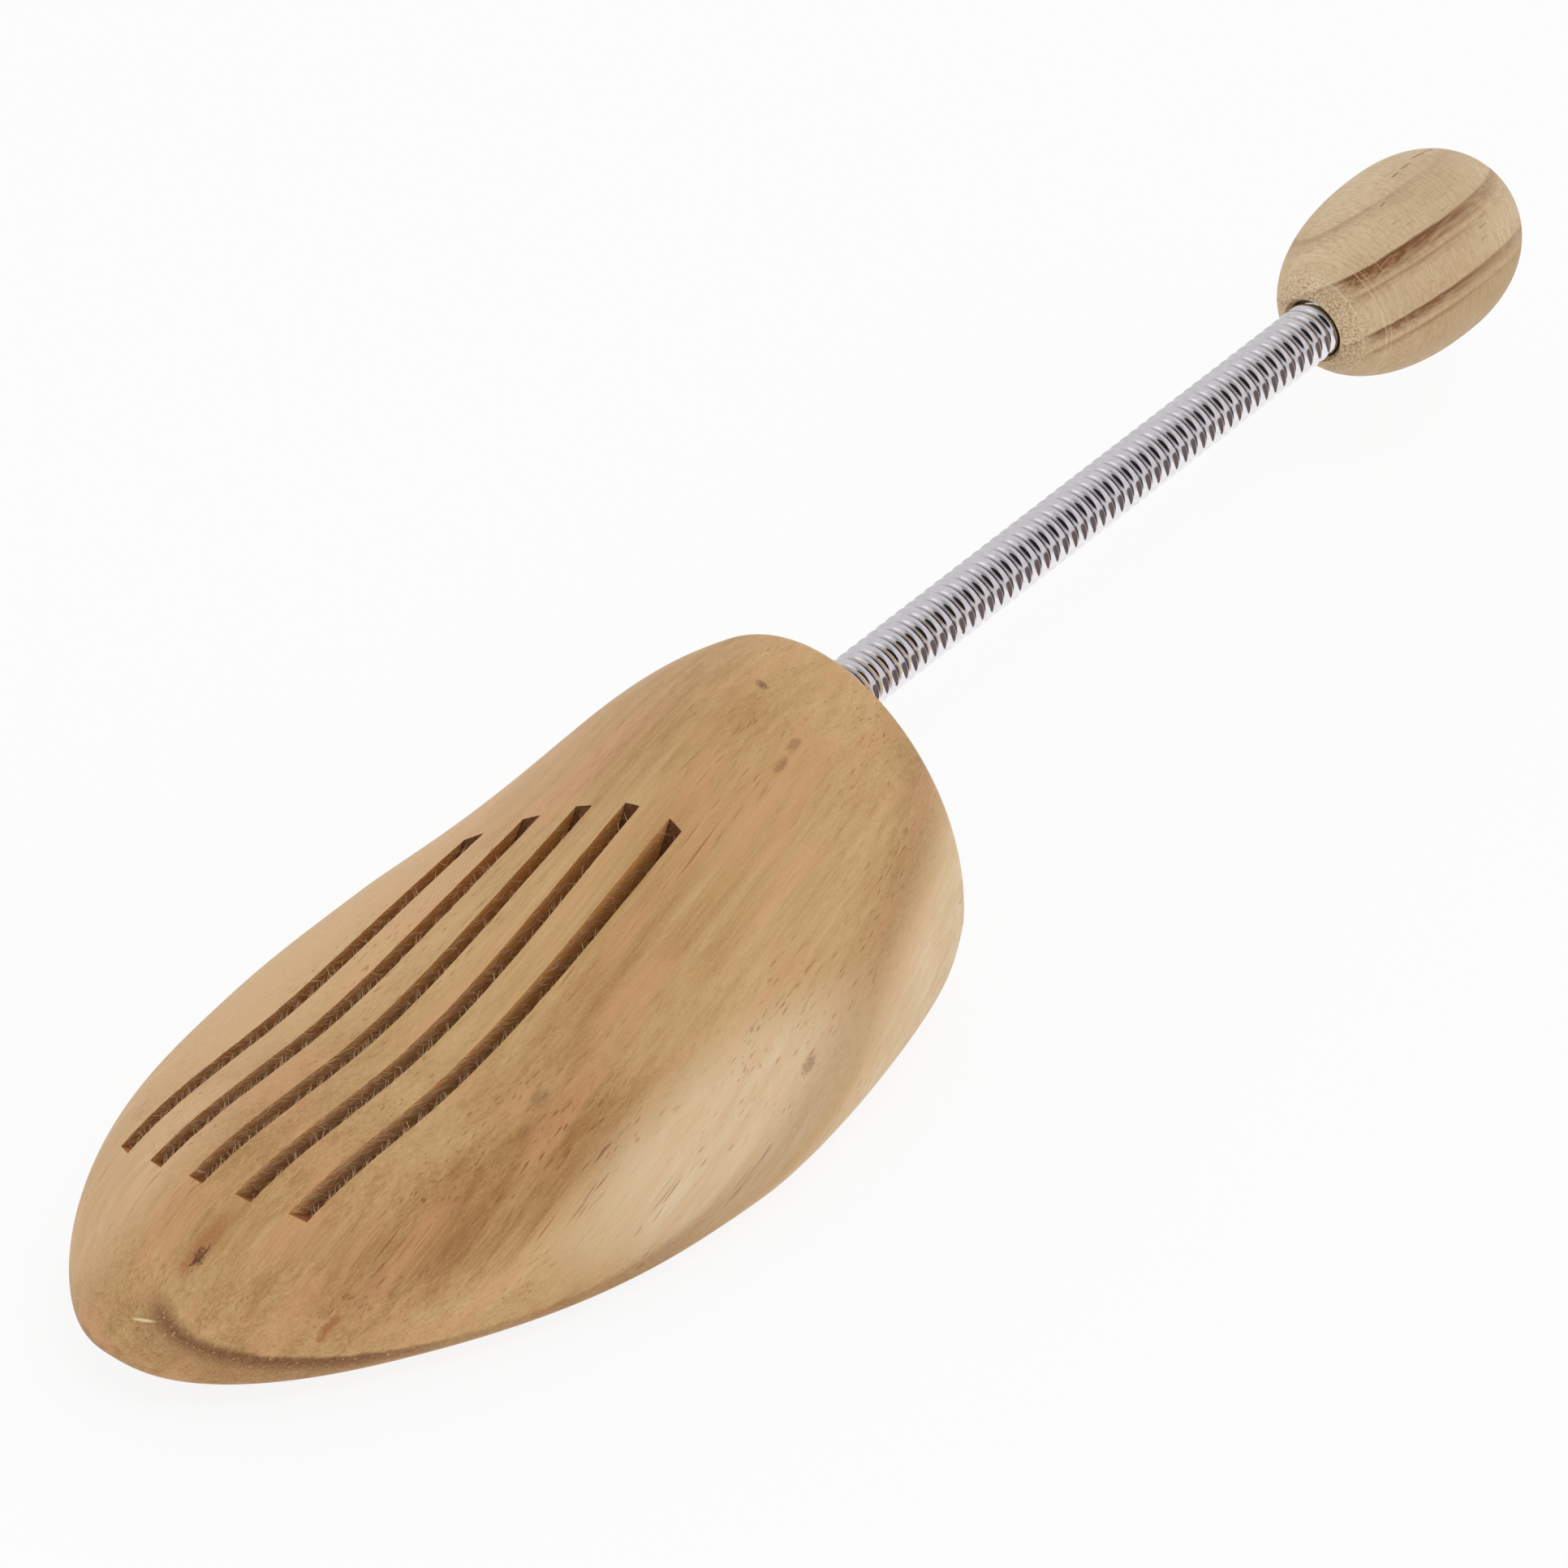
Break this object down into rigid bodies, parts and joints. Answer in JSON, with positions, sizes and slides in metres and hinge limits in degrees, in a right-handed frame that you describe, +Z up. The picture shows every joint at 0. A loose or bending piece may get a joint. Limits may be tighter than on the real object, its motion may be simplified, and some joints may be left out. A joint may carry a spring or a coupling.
{
  "type": "spiral spring shoe tree",
  "caption": "Shoe tree with a slotted wooden forefoot, a close-wound steel spring that bows, and a turned wooden heel knob.",
  "frame": {"origin": "under the middle of the whole object, on the surface that the sole rests on", "axes": "+X towards the toe along the spring, +Y towards the outer side of the foot, +Z up"},
  "size_m": [0.3498, 0.0906, 0.0565],
  "materials": {
    "forefoot_wood": "sanded pale hardwood, waxed, open pores along the length",
    "knob_wood": "turned pale hardwood with brown growth lines",
    "spring_steel": "bright nickel-plated spring wire",
    "nail_steel": "plain drawn steel"
  },
  "bodies": {
    "forefoot": {"forefoot_block": "forefoot_wood", "forefoot_nail": "nail_steel", "spring_turns_00": "spring_steel"},
    "spring_01": {"spring_turns_01": "spring_steel"},
    "spring_02": {"spring_turns_02": "spring_steel"},
    "spring_03": {"spring_turns_03": "spring_steel"},
    "spring_04": {"spring_turns_04": "spring_steel"},
    "spring_05": {"spring_turns_05": "spring_steel"},
    "spring_06": {"spring_turns_06": "spring_steel"},
    "spring_07": {"spring_turns_07": "spring_steel"},
    "spring_08": {"spring_turns_08": "spring_steel"},
    "spring_09": {"spring_turns_09": "spring_steel"},
    "spring_10": {"spring_turns_10": "spring_steel"},
    "spring_11": {"spring_turns_11": "spring_steel"},
    "spring_12": {"spring_turns_12": "spring_steel"},
    "spring_13": {"spring_turns_13": "spring_steel"},
    "spring_14": {"spring_turns_14": "spring_steel"},
    "spring_15": {"spring_turns_15": "spring_steel"},
    "spring_16": {"spring_turns_16": "spring_steel"},
    "spring_17": {"spring_turns_17": "spring_steel"},
    "spring_18": {"spring_turns_18": "spring_steel"},
    "spring_19": {"spring_turns_19": "spring_steel"},
    "spring_20": {"spring_turns_20": "spring_steel"},
    "spring_21": {"spring_turns_21": "spring_steel"},
    "spring_22": {"spring_turns_22": "spring_steel"},
    "spring_23": {"spring_turns_23": "spring_steel"},
    "knob": {"spring_turns_24": "spring_steel", "heel_knob": "knob_wood", "knob_nail": "nail_steel"}
  },
  "joints": [
    {"name": "spring_bow_1", "type": "hinge", "parent": "forefoot", "child": "spring_01", "pos_m": [0.012, -0.00243, 0.036], "axis": [0, 1, 0], "range_deg": [-9, 9], "stiffness_Nm_per_rad": 3, "deforming": ["spring_turns_00", "spring_turns_01"]},
    {"name": "spring_sway_1", "type": "hinge", "parent": "spring_01", "child": "spring_02", "pos_m": [0.00619, -0.00243, 0.036], "axis": [0, 0, 1], "range_deg": [-9, 9], "stiffness_Nm_per_rad": 3, "deforming": ["spring_turns_01", "spring_turns_02"]},
    {"name": "spring_stretch_1", "type": "slide", "parent": "spring_02", "child": "spring_03", "axis": [-1, 0, 0], "range_m": [0, 0.001], "stiffness_N_per_m": 40000, "deforming": ["spring_turns_02", "spring_turns_03"]},
    {"name": "spring_bow_2", "type": "hinge", "parent": "spring_03", "child": "spring_04", "pos_m": [-0.00543, -0.00243, 0.036], "axis": [0, 1, 0], "range_deg": [-9, 9], "stiffness_Nm_per_rad": 3, "deforming": ["spring_turns_03", "spring_turns_04"]},
    {"name": "spring_sway_2", "type": "hinge", "parent": "spring_04", "child": "spring_05", "pos_m": [-0.01125, -0.00243, 0.036], "axis": [0, 0, 1], "range_deg": [-9, 9], "stiffness_Nm_per_rad": 3, "deforming": ["spring_turns_04", "spring_turns_05"]},
    {"name": "spring_twist_1", "type": "hinge", "parent": "spring_05", "child": "spring_06", "pos_m": [-0.01706, -0.00243, 0.036], "axis": [1, 0, 0], "range_deg": [-6, 6], "stiffness_Nm_per_rad": 1, "deforming": ["spring_turns_05", "spring_turns_06"]},
    {"name": "spring_bow_3", "type": "hinge", "parent": "spring_06", "child": "spring_07", "pos_m": [-0.02287, -0.00243, 0.036], "axis": [0, 1, 0], "range_deg": [-9, 9], "stiffness_Nm_per_rad": 3, "deforming": ["spring_turns_06", "spring_turns_07"]},
    {"name": "spring_sway_3", "type": "hinge", "parent": "spring_07", "child": "spring_08", "pos_m": [-0.02868, -0.00243, 0.036], "axis": [0, 0, 1], "range_deg": [-9, 9], "stiffness_Nm_per_rad": 3, "deforming": ["spring_turns_07", "spring_turns_08"]},
    {"name": "spring_stretch_2", "type": "slide", "parent": "spring_08", "child": "spring_09", "axis": [-1, 0, 0], "range_m": [0, 0.001], "stiffness_N_per_m": 40000, "deforming": ["spring_turns_08", "spring_turns_09"]},
    {"name": "spring_bow_4", "type": "hinge", "parent": "spring_09", "child": "spring_10", "pos_m": [-0.04031, -0.00243, 0.036], "axis": [0, 1, 0], "range_deg": [-9, 9], "stiffness_Nm_per_rad": 3, "deforming": ["spring_turns_09", "spring_turns_10"]},
    {"name": "spring_sway_4", "type": "hinge", "parent": "spring_10", "child": "spring_11", "pos_m": [-0.04612, -0.00243, 0.036], "axis": [0, 0, 1], "range_deg": [-9, 9], "stiffness_Nm_per_rad": 3, "deforming": ["spring_turns_10", "spring_turns_11"]},
    {"name": "spring_twist_2", "type": "hinge", "parent": "spring_11", "child": "spring_12", "pos_m": [-0.05193, -0.00243, 0.036], "axis": [1, 0, 0], "range_deg": [-6, 6], "stiffness_Nm_per_rad": 1, "deforming": ["spring_turns_11", "spring_turns_12"]},
    {"name": "spring_bow_5", "type": "hinge", "parent": "spring_12", "child": "spring_13", "pos_m": [-0.05775, -0.00243, 0.036], "axis": [0, 1, 0], "range_deg": [-9, 9], "stiffness_Nm_per_rad": 3, "deforming": ["spring_turns_12", "spring_turns_13"]},
    {"name": "spring_sway_5", "type": "hinge", "parent": "spring_13", "child": "spring_14", "pos_m": [-0.06356, -0.00243, 0.036], "axis": [0, 0, 1], "range_deg": [-9, 9], "stiffness_Nm_per_rad": 3, "deforming": ["spring_turns_13", "spring_turns_14"]},
    {"name": "spring_stretch_3", "type": "slide", "parent": "spring_14", "child": "spring_15", "axis": [-1, 0, 0], "range_m": [0, 0.001], "stiffness_N_per_m": 40000, "deforming": ["spring_turns_14", "spring_turns_15"]},
    {"name": "spring_bow_6", "type": "hinge", "parent": "spring_15", "child": "spring_16", "pos_m": [-0.07518, -0.00243, 0.036], "axis": [0, 1, 0], "range_deg": [-9, 9], "stiffness_Nm_per_rad": 3, "deforming": ["spring_turns_15", "spring_turns_16"]},
    {"name": "spring_sway_6", "type": "hinge", "parent": "spring_16", "child": "spring_17", "pos_m": [-0.081, -0.00243, 0.036], "axis": [0, 0, 1], "range_deg": [-9, 9], "stiffness_Nm_per_rad": 3, "deforming": ["spring_turns_16", "spring_turns_17"]},
    {"name": "spring_twist_3", "type": "hinge", "parent": "spring_17", "child": "spring_18", "pos_m": [-0.08681, -0.00243, 0.036], "axis": [1, 0, 0], "range_deg": [-6, 6], "stiffness_Nm_per_rad": 1, "deforming": ["spring_turns_17", "spring_turns_18"]},
    {"name": "spring_bow_7", "type": "hinge", "parent": "spring_18", "child": "spring_19", "pos_m": [-0.09262, -0.00243, 0.036], "axis": [0, 1, 0], "range_deg": [-9, 9], "stiffness_Nm_per_rad": 3, "deforming": ["spring_turns_18", "spring_turns_19"]},
    {"name": "spring_sway_7", "type": "hinge", "parent": "spring_19", "child": "spring_20", "pos_m": [-0.09843, -0.00243, 0.036], "axis": [0, 0, 1], "range_deg": [-9, 9], "stiffness_Nm_per_rad": 3, "deforming": ["spring_turns_19", "spring_turns_20"]},
    {"name": "spring_stretch_4", "type": "slide", "parent": "spring_20", "child": "spring_21", "axis": [-1, 0, 0], "range_m": [0, 0.001], "stiffness_N_per_m": 40000, "deforming": ["spring_turns_20", "spring_turns_21"]},
    {"name": "spring_bow_8", "type": "hinge", "parent": "spring_21", "child": "spring_22", "pos_m": [-0.11006, -0.00243, 0.036], "axis": [0, 1, 0], "range_deg": [-9, 9], "stiffness_Nm_per_rad": 3, "deforming": ["spring_turns_21", "spring_turns_22"]},
    {"name": "spring_sway_8", "type": "hinge", "parent": "spring_22", "child": "spring_23", "pos_m": [-0.11587, -0.00243, 0.036], "axis": [0, 0, 1], "range_deg": [-9, 9], "stiffness_Nm_per_rad": 3, "deforming": ["spring_turns_22", "spring_turns_23"]},
    {"name": "spring_twist_4", "type": "hinge", "parent": "spring_23", "child": "knob", "pos_m": [-0.12168, -0.00243, 0.036], "axis": [1, 0, 0], "range_deg": [-6, 6], "stiffness_Nm_per_rad": 1, "deforming": ["spring_turns_23", "spring_turns_24"]}
  ],
  "couplings": [
    {"joint": "spring_bow_2", "follows": "spring_bow_1", "ratio": 1},
    {"joint": "spring_sway_2", "follows": "spring_sway_1", "ratio": 1},
    {"joint": "spring_bow_3", "follows": "spring_bow_1", "ratio": 1},
    {"joint": "spring_sway_3", "follows": "spring_sway_1", "ratio": 1},
    {"joint": "spring_stretch_2", "follows": "spring_stretch_1", "ratio": 1},
    {"joint": "spring_bow_4", "follows": "spring_bow_1", "ratio": 1},
    {"joint": "spring_sway_4", "follows": "spring_sway_1", "ratio": 1},
    {"joint": "spring_twist_2", "follows": "spring_twist_1", "ratio": 1},
    {"joint": "spring_bow_5", "follows": "spring_bow_1", "ratio": 1},
    {"joint": "spring_sway_5", "follows": "spring_sway_1", "ratio": 1},
    {"joint": "spring_stretch_3", "follows": "spring_stretch_1", "ratio": 1},
    {"joint": "spring_bow_6", "follows": "spring_bow_1", "ratio": 1},
    {"joint": "spring_sway_6", "follows": "spring_sway_1", "ratio": 1},
    {"joint": "spring_twist_3", "follows": "spring_twist_1", "ratio": 1},
    {"joint": "spring_bow_7", "follows": "spring_bow_1", "ratio": 1},
    {"joint": "spring_sway_7", "follows": "spring_sway_1", "ratio": 1},
    {"joint": "spring_stretch_4", "follows": "spring_stretch_1", "ratio": 1},
    {"joint": "spring_bow_8", "follows": "spring_bow_1", "ratio": 1},
    {"joint": "spring_sway_8", "follows": "spring_sway_1", "ratio": 1},
    {"joint": "spring_twist_4", "follows": "spring_twist_1", "ratio": 1}
  ]
}
